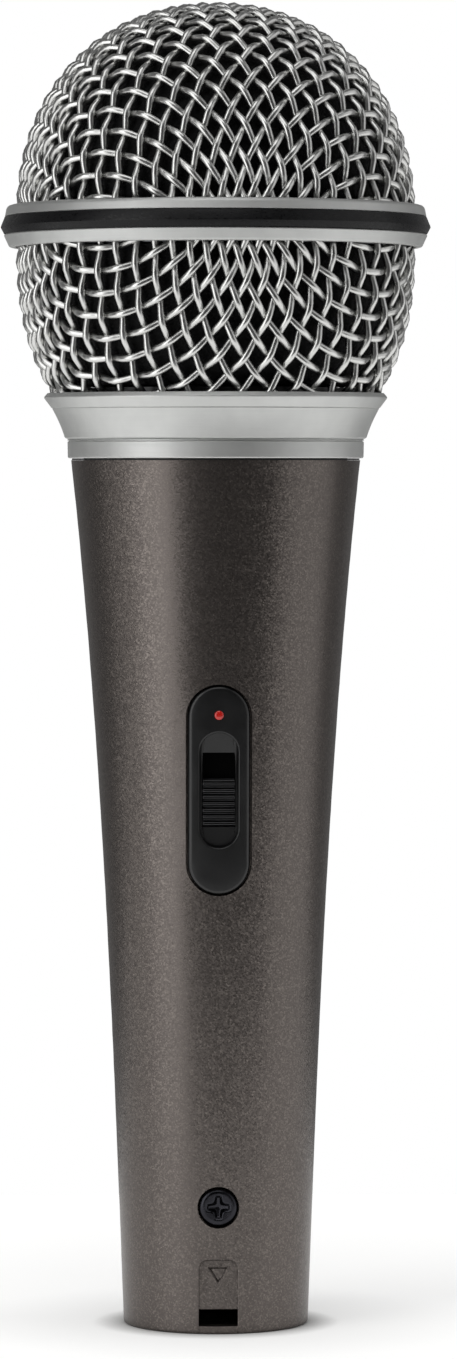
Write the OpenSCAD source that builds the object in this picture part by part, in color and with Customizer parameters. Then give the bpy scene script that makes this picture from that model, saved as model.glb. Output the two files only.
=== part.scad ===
// Handheld dynamic vocal microphone with a slide switch.
// Stands on its connector end: +Z runs up through the head, the switch faces -Y,
// and the origin is the centre of the connector end face. Millimetres.

/* [Handle] */
// Height of the handle, from the connector end to the washer under the head
handle_h = 108; // [92:1:135]
// Wall around the socket at the connector end
end_wall = 2.15; // [1.8:0.05:3]
// Outer radius at the top, under the head
top_r = 18.05; // [18:0.05:22]
// Part of the growth in radius that follows the cubic flare near the top
flare_r = 2.6; // [0:0.1:3.8]
// Wall thickness
wall = 2.4; // [1.9:0.1:2.5]
// Step from the handle's top in to the crest of the neck's thread
shoulder = 1.6; // [1.4:0.05:1.8]
// Height of the threaded neck
neck_h = 6.2; // [5.8:0.1:8]
// Wall of the neck
neck_wall = 2.45; // [2:0.05:2.6]

/* [Connector] */
// Radius of the socket that takes the cable plug
socket_r = 8.1; // [7.6:0.05:9.8]
// Depth of the socket floor above the end face
socket_floor_z = 13.2; // [11:0.1:15]
// Wall of the insert's sleeve
sleeve_wall = 1.25; // [1:0.05:1.5]
// Thickness of the disc that holds the contacts
disc_t = 5.4; // [4.8:0.1:6.5]
// Radius of a contact pin
pin_r = 1.2; // [1:0.05:1.3]
// Diameter of the circle that the three contacts lie on
pin_pcd = 8.8; // [8:0.1:9.2]
// Height of the pin tips above the end face
pin_tip_z = 2.6; // [1:0.1:4]
// Width of the latch window and of the flat panel above it
latch_w = 4.85; // [4:0.05:6]
// Height of the latch window
latch_h = 2.1; // [1.5:0.1:2.5]
// Height of the flat panel
panel_h = 6.1; // [5:0.1:8]
// Height of the locking screw above the end face
lock_z = 15.8; // [15.5:0.1:16.2]
// Radius of the locking screw's head
lock_head_r = 2.5; // [2:0.1:2.8]
// Radius of the locking screw's shank
lock_r = 1.5; // [1:0.1:1.6]

/* [Switch] */
// Height of the plate's centre above the end face
plate_z = 67.5; // [62:0.5:74]
// Width of the plate
plate_w = 7.9; // [7.6:0.1:9]
// Length of plate beyond the window behind it, at each end
plate_end = 1.75; // [1.2:0.05:3]
// Depth of the plate's pocket in the handle
pocket_d = 1.6; // [1.4:0.1:1.7]
// Width of the dish beyond the slot, on each side
dish_side = 0.325; // [0.2:0.025:0.5]
// Length of the dish beyond the slot, at each end
dish_end = 2.5; // [1.5:0.1:3]
// Width of the knob
knob_w = 3.9; // [3.2:0.1:4.2]
// Height of the knob
knob_h = 5.7; // [4.6:0.1:7]
// Number of ribs on the knob
knob_ribs = 7; // [5:1:9]
// Travel from off to on
travel = 3.3; // [2.4:0.1:4]
// Radius of the red dot
dot_r = 0.55; // [0.4:0.05:0.8]
// Distance from the dish's upper end up to the middle of the red dot
dot_above = 2.2; // [1.6:0.1:2.6]

/* [Head] */
// Height of the collar
collar_h = 8.1; // [7.6:0.1:9]
// Reach of the collar's lip beyond the handle's top
lip_reach = 3.35; // [3.2:0.05:4]
// Height of the wire bowl, from the collar's lip to the middle of the belt
bowl_h = 20.75; // [17:0.25:25]
// Outer radius of the wire head beside the belt
head_r = 24.95; // [24.5:0.05:30]
// Height of the wire dome above the middle of the belt
dome_h = 27.9; // [23:0.1:34]
// Roundness of the dome, 2 for an ellipse and more for fuller shoulders
dome_n = 2.2; // [2:0.05:2.6]
// Thickness of the woven mesh, two wires
mesh_t = 1.6; // [1.2:0.1:2]
// Height of the belt
belt_h = 5.2; // [4.5:0.1:7]
// Height of the band's ridge above the wire
ridge_h = 1.85; // [1.6:0.05:2.5]
// Thickness of the windscreen foam
foam_t = 2.4; // [1.5:0.1:2.6]

/* [Capsule] */
// Outer radius of the capsule's body
capsule_r = 15.4; // [14.4:0.1:15.5]
// Height of the capsule's body
capsule_h = 16; // [15:0.1:18]
// Outer radius of the rear air chamber
chamber_r = 10; // [9:0.1:10.2]
// Length of the rear air chamber below the capsule's body
chamber_h = 22.4; // [16:0.1:24]
// Radius of the magnet
magnet_r = 7.2; // [6:0.1:7.4]
// Gap between the coil and the iron on each side
coil_gap = 0.4; // [0.3:0.05:0.5]
// Number of side ports
ports = 8; // [6:1:10]

/* [Clearances] */
// Running clearance of the thread between neck and collar
thread_gap = 0.1; // [0.05:0.01:0.1]
// Gap between pieces that are assembled by hand
fit_gap = 0.05; // [0.02:0.01:0.1]
// Gap around the plate in its pocket
plate_gap = 0.12; // [0.08:0.01:0.2]
// Thickness of the washer under the collar
washer_t = 0.2; // [0.15:0.01:0.3]

/* [Hidden] */
$fn = 96;

zinc = "#4a4541";
silver = "#b9bab6";
black = "#1a1a1c";
steel = "#9a9c9e";
bronze = "#b08d57";
phenolic = "#5d3a22";

overcut = 1;

// ---- derived heights and radii, from the connector end upwards ----
edge = 0.4;
insert_r = socket_r + sleeve_wall;
end_r = insert_r + fit_gap + end_wall;
neck_r = top_r - shoulder;
neck_bore_r = neck_r - neck_wall;
insert_z = 0.9;
disc_top_z = socket_floor_z + disc_t;
stop_z = disc_top_z + 0.6;
stop_h = 1;
stop_lip = 0.5;
cavity_z = stop_z + stop_h;
latch_z = 1;
panel_flat = 0.45;
panel_corner = 1.2;
mark_depth = 0.25;
mark_w = 2.2;
mark_h = 1.8;
set_gap = 0.01;
press_gap = 0.02;
grip_r = pin_r + 0.15;
cup_r = grip_r + 0.05;
cup_bore_r = 0.9;
cup_floor_z = disc_top_z + 1;
cup_top_z = disc_top_z + 3.8;
lead_start_z = cup_floor_z + 0.1;
counterbore = 1.2;
lock_tip_y = 3.9;
lock_head_rim = 0.6;
head_gap = 0.1;
cross_l = 2.6;
cross_w = 0.7;
cross_d = 0.7;
mark_inset = 1;
strip_t = 0.3;
strip_w = 1.6;
strip_rise = 2;
eye_r = cup_r + 0.8;

lip_r = top_r + lip_reach;
ridge_r = head_r + ridge_h;
neck_top_z = handle_h + neck_h;
washer_z = handle_h + 0.02;
collar_z = washer_z + washer_t + 0.03;
lip_z = collar_z + collar_h;
belt_mid_z = lip_z + bowl_h;
belt_z = belt_mid_z - belt_h / 2;
ring_gap = 0.02;
lower_ring_h = 1.6;
upper_ring_h = 1.35;
lower_ring_top_z = belt_z + lower_ring_h;
upper_ring_z = belt_z + belt_h - upper_ring_h;
dome_z = belt_mid_z + 1.4;
hoop_t = 1;

// switch stack, as depths below the handle's surface at the plate's centre
dish_d = 0.75;
rib_tip_d = 0.4;
rib_root_d = 0.8;
blade_gap = 0.15;
blade_t = 0.5;
frame_d = 3.4;
frame_t = 0.5;
base_d = 4.3;
slider_d = frame_d + frame_t + 0.5;
slider_t = 1.2;
wiper_t = 0.6;
wiper_w = 0.9;
wiper_inset = 0.3;
contact_d = slider_d + slider_t + wiper_t + 0.3;
tail_d = contact_d + 4.1;
slot_w = knob_w + 0.2;
slot_h = knob_h + travel + 0.2;
dish_w = slot_w + 2 * dish_side;
dish_h = slot_h + 2 * dish_end;
dot_up = dish_h / 2 + dot_above;
blade_w = slot_w + 1.1;
blade_h = slot_h + travel + 0.4;
window_w = blade_w + 0.8;
boss_r = 1.3;
clamp_r = 0.75;
clamp_head_r = 1.35;
clamp_head_t = 1;
boss_root_d = pocket_d - 0.2;
pilot_d = dish_d + 0.45;
plate_proud = 0.12;
dot_proud = 0.1;
frame_top_d = frame_d + frame_t + set_gap;
clamp_z = (blade_h + travel) / 2 + boss_r + 0.2;
window_h = 2 * (clamp_z + boss_r + 0.3);
plate_h = window_h + 2 * plate_end;
stem_w = 1.8;
stem_h = 3;
slider_w = 5;
slider_h = 6;
cavity_w = slider_w + 0.8;
cavity_h = slider_h + travel + 4.6;
base_w = cavity_w + 1.2;
frame_w = base_w + 0.8;
base_h = cavity_h + 2;
base_floor = 1;
driver_slot = 0.4;
tail_r = 0.55;
tail_x = 1.9;
tail_pitch = 4.7;

// capsule stack
carrier_flange_t = 1;
carrier_top_z = neck_top_z + fit_gap + carrier_flange_t;
carrier_r = neck_bore_r - fit_gap;
carrier_bore_r = carrier_r - 1.05;
mount_web_t = 0.8;
mount_h = 5.4;
capsule_z = carrier_top_z + 1.95;
capsule_wall = 1.3;
capsule_floor = 1.4;
chamber_wall = 1.1;
chamber_z = capsule_z - chamber_h;
flange_t = 1.1;
yoke_z = capsule_z + capsule_floor + flange_t + 3 * fit_gap;
yoke_floor = 2.2;
yoke_h = 11;
yoke_top_z = yoke_z + yoke_h;
yoke_flange_t = 1.4;
pole_r = magnet_r + 0.5;
pole_t = 2.35;
coil_r = pole_r + coil_gap;
coil_t = 0.65;
yoke_bore_r = coil_r + coil_t + coil_gap;
yoke_r = yoke_bore_r + 2.9;
coil_h = 4.3;
coil_rise = 0.9;
diaphragm_z = yoke_top_z + coil_rise;
diaphragm_t = 0.25;
diaphragm_r = capsule_r - capsule_wall - 1.3;
cap_wall = 0.65;
cap_r = capsule_r + fit_gap + cap_wall;
cap_skirt = 3.9;
cap_t = 1.2;
cap_top_z = capsule_z + capsule_h + 2.8;
screen_t = 0.35;
cloth_t = 0.85;
cloth_h = 7;
vent_r = 2.5;
rim_gap = 0.25;
hole_r = 1.05;
hole_pitch = 3.4;
port_w = 3;
port_h = 4.4;
board_t = 1;
board_z = chamber_z - board_t - press_gap;
tag_x = 2.6;
tag_w = 1.6;
tag_t = 0.5;
tag_h = 4;
lead_r = 0.5;

// ---- outlines ----
// Outer radius of the handle at height z
function handle_r(z) =
    end_r + (top_r - end_r - flare_r) * z / handle_h + flare_r * pow(z / handle_h, 3);

// Inner radius of the handle's cavity at height z
function cavity_r(z) = min(handle_r(z) - wall, neck_bore_r);

// Outer radius of the wire bowl at height z, which also shapes its seat in the collar
bowl_foot_r = lip_r - 0.7;
bowl_power = 2.5;
foot_slope = 0.585;
foot_curl = 0.024;
function bowl_r(z) =
    z > belt_z ? head_r
    : z > lip_z
    ? head_r - (head_r - bowl_foot_r) * pow((belt_z - z) / (belt_z - lip_z), bowl_power)
    : bowl_foot_r - foot_slope * (lip_z - z) - foot_curl * pow(lip_z - z, 2);

// Point on a dome shrunk inwards by inset, at angle a above the belt
function dome_point(a, inset) =
    [(head_r - inset) * pow(cos(a), 2 / dome_n),
     dome_z + (belt_mid_z + dome_h - dome_z - inset) * pow(sin(a), 2 / dome_n)];

// Outer radius of the collar's flare at height t above its foot
flare_foot_r = top_r + 0.75;
flare_h = 3.45;
function collar_flare_r(t) = flare_foot_r + 0.3 * t + 0.035 * t * t;

// Heights from a to b in n equal steps
function steps(a, b, n) = [for (i = [0:n]) a + (b - a) * i / n];

function reverse(v) = [for (i = [len(v) - 1:-1:0]) v[i]];

// Slope of the handle's surface beside the plate, in degrees
plate_tilt = atan(handle_r(plate_z + 0.5) - handle_r(plate_z - 0.5));

// Places a piece of the switch: y is depth below the surface and z runs up along it
module at_switch() {
    translate([0, -handle_r(plate_z), plate_z])
        rotate([plate_tilt, 0, 0])
            children();
}

// Extrudes an outline drawn as (x, z) from depth y0 to depth y1
module through(y0, y1) {
    translate([0, y1, 0])
        rotate([90, 0, 0])
            linear_extrude(y1 - y0)
                children();
}

module stadium(w, h) {
    square([w, h - w], center = true);
    for (s = [-1, 1])
        translate([0, s * (h - w) / 2])
            circle(d = w);
}

// Block of width w and height h between depths y0 and y1
module block(w, h, y0, y1) {
    translate([-w / 2, y0, -h / 2])
        cube([w, y1 - y0, h]);
}

// Ring between two radii and two heights
module ring(r_in, r_out, z0, z1) {
    rotate_extrude()
        translate([r_in, z0])
            square([r_out - r_in, z1 - z0]);
}

// Solid of the handle's outer outline, grown by extra
module handle_outline(extra) {
    rotate_extrude()
        polygon(concat(
            [[0, 0]],
            [for (z = steps(0, handle_h, 27)) [handle_r(z) + extra, z]],
            [[0, handle_h]]));
}

// Places of the three contacts, as angles around the socket
contact_angles = [210, 330, 90];
module at_contacts() {
    for (a = contact_angles)
        translate([pin_pcd / 2 * cos(a), pin_pcd / 2 * sin(a), 0])
            children();
}
function contact_at(i, z) =
    [pin_pcd / 2 * cos(contact_angles[i]), pin_pcd / 2 * sin(contact_angles[i]), z];

// ---- handle ----
module handle_shell() {
    color(zinc)
    difference() {
        rotate_extrude()
            polygon(concat(
                [for (a = [0:15:90])
                    [end_r - edge + edge * sin(a), edge - edge * cos(a)]],
                [for (z = steps(edge, handle_h, 27)) [handle_r(z), z]],
                [[neck_r, handle_h],
                 [neck_r, neck_top_z - edge],
                 [neck_r - edge, neck_top_z],
                 [neck_bore_r, neck_top_z]],
                [for (z = reverse(steps(cavity_z, handle_h, 24))) [cavity_r(z), z]],
                [[insert_r - stop_lip, cavity_z],
                 [insert_r - stop_lip, stop_z],
                 [insert_r + fit_gap, stop_z],
                 [insert_r + fit_gap, 0]]));
        // latch window
        translate([-latch_w / 2, -end_r - overcut, latch_z])
            cube([latch_w, end_r, latch_h]);
        // flat panel above the window, with round upper corners
        through(-end_r - overcut, -end_r + panel_flat)
            translate([0, latch_z + latch_h - 0.01])
                panel_outline();
        // engraved triangle that points at the window
        through(-end_r - overcut, -end_r + panel_flat + mark_depth)
            translate([0, latch_z + latch_h + panel_h - mark_inset])
                polygon([[-mark_w / 2, 0], [mark_w / 2, 0], [0, -mark_h]]);
        // locking screw
        through(-handle_r(lock_z) - overcut, -handle_r(lock_z) + counterbore)
            translate([0, lock_z])
                circle(lock_head_r + head_gap);
        through(-handle_r(lock_z), -insert_r + overcut)
            translate([0, lock_z])
                circle(lock_r + fit_gap);
        // plate pocket and the window behind it
        at_switch()
            through(-overcut, pocket_d)
                stadium(plate_w + 2 * plate_gap, plate_h + 2 * plate_gap);
        at_switch()
            through(0, frame_d + overcut)
                stadium(window_w, window_h);
    }
}

module panel_outline() {
    translate([-latch_w / 2, 0])
        square([latch_w, panel_h - panel_corner]);
    translate([-latch_w / 2 + panel_corner, 0])
        square([latch_w - 2 * panel_corner, panel_h]);
    for (s = [-1, 1])
        translate([s * (latch_w / 2 - panel_corner), panel_h - panel_corner])
            circle(panel_corner);
}

// ---- connector ----
module xlr_insert() {
    color(black)
    difference() {
        translate([0, 0, insert_z])
            cylinder(r = insert_r, h = disc_top_z - insert_z);
        translate([0, 0, insert_z - overcut])
            cylinder(r = socket_r, h = socket_floor_z - insert_z + overcut);
        translate([-latch_w / 2, -insert_r - overcut, insert_z - overcut])
            cube([latch_w, insert_r, latch_z + latch_h - insert_z + overcut]);
        at_contacts()
            translate([0, 0, socket_floor_z - overcut])
                cylinder(r = grip_r + set_gap, h = disc_t + 2 * overcut);
        through(-insert_r - overcut, -lock_tip_y)
            translate([0, lock_z])
                circle(lock_r + set_gap);
    }
}

module xlr_pins() {
    color(silver)
    at_contacts()
        rotate_extrude()
            polygon(concat(
                [for (a = [0:15:90])
                    [pin_r * sin(a), pin_tip_z + pin_r * (1 - cos(a))]],
                [[pin_r, socket_floor_z + press_gap],
                 [grip_r, socket_floor_z + press_gap],
                 [grip_r, disc_top_z + set_gap],
                 [cup_r, disc_top_z + set_gap],
                 [cup_r, cup_top_z],
                 [cup_bore_r, cup_top_z],
                 [cup_bore_r, cup_floor_z],
                 [0, cup_floor_z]]));
}

module xlr_screw() {
    face = handle_r(lock_z);
    seat = face - counterbore;
    color(black)
    difference() {
        translate([0, -seat, lock_z])
            rotate([90, 0, 0])
                rotate_extrude()
                    polygon(concat(
                        [[0, lock_tip_y - seat], [lock_r, lock_tip_y - seat], [lock_r, 0]],
                        [[lock_head_r, 0]],
                        [for (a = [0:10:90])
                            [lock_head_r * cos(a),
                             lock_head_rim + (counterbore - lock_head_rim - fit_gap) * sin(a)]]));
        // cross recess
        for (s = [[cross_l, cross_w], [cross_w, cross_l]])
            translate([-s[0] / 2, -face - overcut, lock_z - s[1] / 2])
                cube([s[0], overcut + cross_d, s[1]]);
    }
}

// Strip that grips contact 1 and presses on the stop lip of the handle
module ground_contact() {
    at = contact_at(0, disc_top_z + press_gap);
    tab_x = -sqrt(pow(insert_r - stop_lip - fit_gap, 2) - pow(abs(at[1]) + strip_w / 2, 2));
    color(bronze)
    difference() {
        union() {
            translate(at)
                cylinder(r = eye_r, h = strip_t);
            translate([tab_x, at[1] - strip_w / 2, at[2]])
                cube([at[0] - tab_x, strip_w, strip_t]);
            translate([tab_x, at[1] - strip_w / 2, at[2]])
                cube([strip_t, strip_w, cavity_z + strip_rise - at[2]]);
        }
        translate([at[0], at[1], at[2] - overcut])
            cylinder(r = cup_r + fit_gap, h = strip_t + 2 * overcut);
    }
}

// ---- switch ----
module switch_plate() {
    color(black)
    difference() {
        union() {
            intersection() {
                at_switch()
                    through(-2 * overcut, pocket_d)
                        stadium(plate_w, plate_h);
                handle_outline(plate_proud);
            }
            at_switch()
                for (s = [-1, 1])
                    through(boss_root_d, frame_d)
                        translate([0, s * clamp_z])
                            circle(boss_r);
        }
        at_switch() {
            through(-overcut, dish_d)
                stadium(dish_w, dish_h);
            block(slot_w, slot_h, -overcut, pocket_d + overcut);
            for (s = [-1, 1])
                through(pilot_d, frame_d + overcut)
                    translate([0, s * clamp_z])
                        circle(clamp_r + press_gap);
            through(-overcut, dish_d)
                translate([0, dot_up])
                    circle(dot_r + set_gap);
        }
    }
}

module on_dot() {
    color("red")
    at_switch()
        through(-dot_proud, dish_d - set_gap)
            translate([0, dot_up])
                circle(dot_r);
}

module switch_frame() {
    opening_h = stem_h + travel + 0.6;
    color(steel)
    at_switch()
        difference() {
            union() {
                block(frame_w, window_h, frame_d + set_gap, frame_d + frame_t);
                for (s = [-1, 1])
                    translate([s * (frame_w + base_w + 2 * fit_gap) / 4, 0, 0])
                        block((frame_w - base_w) / 2 - fit_gap, base_h, frame_d + frame_t - 0.1,
                              frame_d + frame_t + 2);
            }
            block(stem_w + 0.8, opening_h, frame_d - overcut, frame_d + frame_t + overcut);
            for (s = [-1, 1])
                through(frame_d - overcut, frame_d + frame_t + overcut)
                    translate([0, s * clamp_z])
                        circle(clamp_r + head_gap);
        }
}

module switch_base() {
    color(phenolic)
    at_switch()
        difference() {
            block(base_w, base_h, frame_top_d, frame_top_d + base_d);
            block(cavity_w, cavity_h, frame_top_d - overcut, frame_top_d + base_d - base_floor);
            at_tails(frame_top_d, frame_top_d + base_d + overcut)
                circle(tail_r + press_gap);
        }
}

module at_tails(y0, y1) {
    for (x = [-tail_x, tail_x])
        for (row = [-1, 0, 1])
            through(y0, y1)
                translate([x, row * tail_pitch])
                    children();
}

module switch_terminals() {
    color(silver)
    at_switch()
        at_tails(contact_d, tail_d)
            circle(tail_r);
}

module switch_screws() {
    color(steel)
    at_switch()
        for (s = [-1, 1]) {
            through(pilot_d + fit_gap, frame_top_d)
                translate([0, s * clamp_z])
                    circle(clamp_r);
            difference() {
                through(frame_top_d, frame_top_d + clamp_head_t)
                    translate([0, s * clamp_z])
                        circle(clamp_head_r);
                translate([0, 0, s * clamp_z])
                    block(2 * clamp_head_r + overcut, driver_slot, frame_top_d + clamp_head_t - driver_slot,
                          frame_top_d + clamp_head_t + overcut);
            }
        }
}

// Knob at rest in the off position, at the lower end of its slot
module at_knob() {
    at_switch()
        translate([0, 0, -travel / 2])
            children();
}

module switch_knob() {
    pitch = knob_h / knob_ribs;
    blade_d = pocket_d + blade_gap;
    color(black)
    at_knob() {
        translate([-knob_w / 2, 0, 0])
            rotate([90, 0, 90])
                linear_extrude(knob_w)
                    polygon(concat(
                        [[blade_d + blade_t, -knob_h / 2]],
                        [for (i = [0:knob_ribs - 1])
                            for (p = [[rib_root_d, 0], [rib_tip_d, 0.3],
                                      [rib_tip_d, 0.6], [rib_root_d, 0.9]])
                                [p[0], -knob_h / 2 + (i + p[1]) * pitch]],
                        [[rib_root_d, knob_h / 2],
                         [blade_d + blade_t, knob_h / 2]]));
        block(blade_w, blade_h, blade_d, blade_d + blade_t);
        block(stem_w, stem_h, blade_d + blade_t - 0.1, slider_d - set_gap);
    }
}

module switch_slider() {
    color(steel)
    at_knob()
        block(slider_w, slider_h, slider_d, slider_d + slider_t);
}

module switch_wipers() {
    color(bronze)
    at_knob()
        for (x = [-tail_x, tail_x])
            translate([x, 0, 0])
                block(wiper_w, slider_h - 2 * wiper_inset, slider_d + slider_t + set_gap,
                      slider_d + slider_t + wiper_t);
}

// ---- shock mount ----
module shock_carrier() {
    color(black)
    rotate_extrude()
        polygon([
            [carrier_bore_r, neck_top_z - mount_h],
            [carrier_r, neck_top_z - mount_h],
            [carrier_r, neck_top_z + fit_gap],
            [neck_r - edge + 0.15, neck_top_z + fit_gap],
            [neck_r - edge + 0.15, carrier_top_z],
            [carrier_bore_r, carrier_top_z]]);
}

// Rubber ring: a rim in the carrier, a thin web and a rim around the chamber
module shock_mount() {
    rim_out = carrier_bore_r - press_gap;
    rim_in = chamber_r + fit_gap;
    rim_t = 0.9;
    web_z = carrier_top_z - 2.4;
    color(black)
    rotate_extrude()
        polygon([
            [rim_out, neck_top_z - mount_h + 0.4],
            [rim_out, carrier_top_z],
            [rim_out - rim_t, carrier_top_z],
            [rim_out - rim_t, web_z + mount_web_t],
            [rim_in + rim_t, web_z + mount_web_t],
            [rim_in + rim_t, carrier_top_z - 0.6],
            [rim_in, carrier_top_z - 0.6],
            [rim_in, neck_top_z - mount_h + 0.8],
            [rim_in + rim_t, neck_top_z - mount_h + 0.8],
            [rim_in + rim_t, web_z],
            [rim_out - rim_t, web_z],
            [rim_out - rim_t, neck_top_z - mount_h + 0.4]]);
}

// ---- leads ----
// Point at t on a cubic curve from p to q, which leaves along u and arrives along v
function curve(p, u, v, q, t) =
    pow(1 - t, 3) * p + 3 * t * pow(1 - t, 2) * (p + u)
    + 3 * t * t * (1 - t) * (q - v) + pow(t, 3) * q;

function unit(v) = v / norm(v);

// Round lead that follows a path, as one closed skin of rings
module lead(path, r) {
    sides = 8;
    n = len(path);
    function along(i) = unit(path[min(i + 1, n - 1)] - path[max(i - 1, 0)]);
    points = [for (i = [0:n - 1])
        let (t = along(i), b = unit(cross([1, 0, 0], t)), a = cross(t, b))
            for (k = [0:sides - 1])
                path[i] + r * (a * cos(360 * k / sides) + b * sin(360 * k / sides))];
    polyhedron(points, concat(
        [[for (k = [0:sides - 1]) sides - 1 - k]],
        [for (i = [0:n - 2]) for (k = [0:sides - 1])
            let (j = (k + 1) % sides)
                [i * sides + k, i * sides + j, (i + 1) * sides + j, (i + 1) * sides + k]],
        [[for (k = [0:sides - 1]) (n - 1) * sides + k]]));
}

// Where the tail of a switch terminal ends, in the microphone's frame
function tail_at(x, row) =
    [x,
     -handle_r(plate_z) + tail_d * cos(plate_tilt) - row * tail_pitch * sin(plate_tilt),
     plate_z + tail_d * sin(plate_tilt) + row * tail_pitch * cos(plate_tilt)];

lead_rings = 22;

// From a contact's solder cup up to the lower row of switch terminals
module lead_lower(contact, x) {
    start = contact_at(contact, lead_start_z);
    end = tail_at(x, -1) + [0, lead_r / 8, 0];
    lead([for (t = steps(0, 1, lead_rings))
        curve(start, [0, 0, 26], [0, -12, 0], end, t)], lead_r);
}

module lead_hot_lower() {
    color("red")
        lead_lower(1, tail_x);
}

module lead_cold_lower() {
    color("white")
        lead_lower(2, -tail_x);
}

// From the upper row of switch terminals to a tag under the capsule
module lead_upper(x, tag) {
    start = tail_at(x, 1) + [0, lead_r / 8, 0];
    end = [tag, 0, board_z - tag_h + board_t - press_gap];
    lead([for (t = steps(0, 1, lead_rings))
        curve(start, [0, 9, 0], [0, 0, 9], end, t)], lead_r);
}

module lead_hot_upper() {
    color("red")
        lead_upper(tail_x, tag_x);
}

module lead_cold_upper() {
    color("white")
        lead_upper(-tail_x, -tag_x);
}

// From contact 1 to the lower end of the switch frame
module lead_ground() {
    depth = frame_d + frame_t;
    drop = window_h / 2 - 0.8;
    end = [-frame_w / 2 + 1,
           -handle_r(plate_z) + depth * cos(plate_tilt) + drop * sin(plate_tilt) + 0.05,
           plate_z + depth * sin(plate_tilt) - drop * cos(plate_tilt)];
    color("black")
        lead([for (t = steps(0, 1, lead_rings))
            curve(contact_at(0, lead_start_z), [0, 0, 16], [0, -8, 0], end, t)], lead_r);
}

// ---- head ----
module head_washer() {
    color(black)
        ring(neck_r + thread_gap, top_r - 0.1, washer_z, washer_z + washer_t);
}

// Radius of the seat that the wire bowl drops into
seat_gap = 0.1;
seat_floor_z = lip_z - 3.15;
thread_bore_r = neck_r + thread_gap;
module collar() {
    band_r = flare_foot_r - 0.3;
    band_top_z = collar_z + 2.1;
    groove_d = 0.15;
    flare_z = band_top_z + 0.35;
    color(silver)
    rotate_extrude()
        polygon(concat(
            [[thread_bore_r, collar_z],
             [band_r - 0.2, collar_z],
             [band_r - 0.1, collar_z + 0.2],
             [band_r, band_top_z],
             [band_r - groove_d, band_top_z + 0.12],
             [flare_foot_r - 0.1, flare_z]],
            [for (t = steps(0, flare_h, 8)) [collar_flare_r(t), flare_z + t]],
            [[lip_r - 0.05, lip_z - 0.7],
             [lip_r, lip_z - 0.55],
             [lip_r - 0.08, lip_z - 0.4],
             [bowl_foot_r + 0.3, lip_z]],
            [for (z = reverse(steps(seat_floor_z, lip_z, 8))) [bowl_r(z) + seat_gap, z]],
            [[thread_bore_r, seat_floor_z]]));
}

module grille_retainer() {
    foot_r = bowl_r(seat_floor_z) - seat_gap;
    foot_z = seat_floor_z + press_gap;
    foot_top_z = seat_floor_z + 1.2;
    wall_r = thread_bore_r + 0.35;
    wall_out_r = wall_r + 0.9;
    wall_top_z = lip_z + 0.6;
    color(black)
    rotate_extrude()
        polygon([
            [wall_r, foot_z],
            [foot_r, foot_z],
            [foot_r, foot_top_z],
            [wall_out_r, foot_top_z],
            [wall_out_r, wall_top_z],
            [wall_r, wall_top_z]]);
}

module lower_grille() {
    foot_heights = steps(seat_floor_z + 1.3, lip_z - 0.4, 3);
    heights = concat(foot_heights, steps(lip_z, belt_mid_z - fit_gap, 19));
    color(silver)
    rotate_extrude()
        polygon(concat(
            [for (z = heights) [bowl_r(z), z]],
            [for (z = reverse(heights)) [bowl_r(z) - mesh_t, z]]));
}

module upper_grille() {
    angles = steps(0, 90, 30);
    color(silver)
    rotate_extrude()
        polygon(concat(
            [[head_r - mesh_t, belt_mid_z + fit_gap],
             [head_r, belt_mid_z + fit_gap]],
            [for (a = angles) dome_point(a, 0)],
            [for (a = reverse(angles)) dome_point(a, mesh_t)]));
}

module belt_hoop() {
    hoop_r = head_r - mesh_t - fit_gap;
    color(steel)
        ring(hoop_r - hoop_t, hoop_r, belt_z, belt_z + belt_h);
}

belt_bore_r = head_r + fit_gap;
belt_lip_r = ridge_r - 0.55;
module belt_lower_ring() {
    color(silver)
    rotate_extrude()
        polygon([
            [belt_bore_r, belt_z],
            [belt_lip_r - 0.75, belt_z],
            [belt_lip_r - 0.35, belt_z + 0.2],
            [belt_lip_r - 0.1, belt_z + 0.6],
            [belt_lip_r + 0.15, lower_ring_top_z],
            [belt_bore_r, lower_ring_top_z]]);
}

module belt_upper_ring() {
    top_z = belt_z + belt_h;
    color(silver)
    rotate_extrude()
        polygon([
            [belt_bore_r, upper_ring_z],
            [belt_lip_r, upper_ring_z],
            [belt_lip_r - 0.15, top_z - 0.45],
            [belt_lip_r - 0.35, top_z - 0.15],
            [belt_lip_r - 0.75, top_z],
            [belt_bore_r, top_z]]);
}

module belt_band() {
    color(black)
    rotate_extrude()
        polygon([
            [belt_bore_r, lower_ring_top_z + ring_gap],
            [belt_lip_r + 0.1, lower_ring_top_z + ring_gap],
            [ridge_r, belt_mid_z - 0.1],
            [belt_lip_r, upper_ring_z - ring_gap],
            [belt_bore_r, upper_ring_z - ring_gap]]);
}

module foam_dome() {
    inset = mesh_t + 0.1;
    foot_z = belt_z + belt_h + 0.1;
    // angle at which the inset dome meets the hoop's top
    foot_a = asin(pow((foot_z - dome_z) / (belt_mid_z + dome_h - dome_z - inset), dome_n / 2));
    angles = steps(foot_a, 90, 24);
    color(black)
    rotate_extrude()
        polygon(concat(
            [for (a = angles) dome_point(a, inset)],
            [for (a = reverse(angles)) dome_point(a, inset + foam_t)],
            [[dome_point(foot_a, inset + foam_t)[0], foot_z]]));
}

module foam_sleeve() {
    inset = mesh_t + 0.1;
    heights = steps(lip_z + 0.75, belt_z - 0.1, 16);
    color(black)
    rotate_extrude()
        polygon(concat(
            [for (z = heights) [bowl_r(z) - inset, z]],
            [for (z = reverse(heights)) [bowl_r(z) - inset - foam_t, z]]));
}

// ---- capsule ----
capsule_top_z = capsule_z + capsule_h;
body_bore_r = capsule_r - capsule_wall;

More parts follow.
